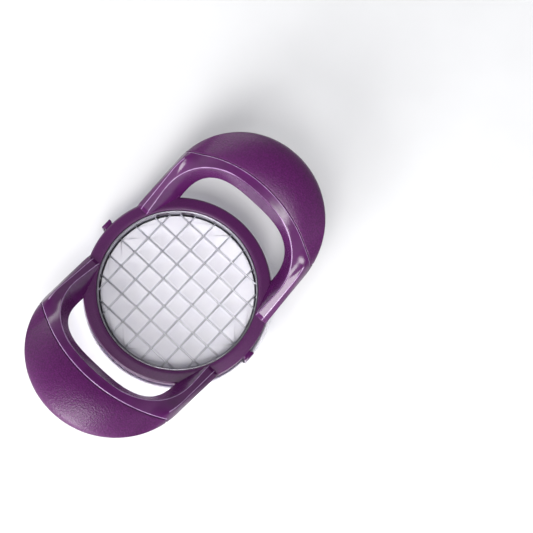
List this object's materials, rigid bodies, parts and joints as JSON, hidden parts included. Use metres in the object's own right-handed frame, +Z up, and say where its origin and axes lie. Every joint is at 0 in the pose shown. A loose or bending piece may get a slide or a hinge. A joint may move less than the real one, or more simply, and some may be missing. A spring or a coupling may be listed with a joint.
{
  "type": "vegetable dicer",
  "caption": "Press-down vegetable dicer: a round blade grid in a ring with raised loop handles, over a clear base whose square pegs push the food through.",
  "frame": {"origin": "middle of the base's underside, on the surface it stands on", "axes": "+X from the left handle to the right, +Y across the ring towards a lug, +Z up along the pressing direction"},
  "size_m": [0.1878, 0.1098, 0.0659],
  "materials": {
    "purple_plastic": "moulded, satin to gloss",
    "grip_rubber": "fine grained soft grip",
    "band_steel": "rolled strip",
    "blade_steel": "ground stainless",
    "screw_steel": "plain",
    "clear_plastic": "translucent, faintly frosted"
  },
  "bodies": {
    "base": {"peg_base": "clear_plastic"},
    "cutter": {"frame": "purple_plastic", "grip_pad_left": "grip_rubber", "grip_pad_right": "grip_rubber", "blade_band": "band_steel", "retaining_ring": "purple_plastic", "clamp_screws": "screw_steel", "long_blade_1": "blade_steel", "long_blade_2": "blade_steel", "long_blade_3": "blade_steel", "long_blade_4": "blade_steel", "long_blade_5": "blade_steel", "long_blade_6": "blade_steel", "long_blade_7": "blade_steel", "cross_blade_1": "blade_steel", "cross_blade_2": "blade_steel", "cross_blade_3": "blade_steel", "cross_blade_4": "blade_steel", "cross_blade_5": "blade_steel", "cross_blade_6": "blade_steel", "cross_blade_7": "blade_steel"}
  },
  "joints": [
    {"name": "cutter_lift", "type": "slide", "parent": "base", "child": "cutter", "axis": [0, 0, 1], "range_m": [0, 0.09]}
  ]
}
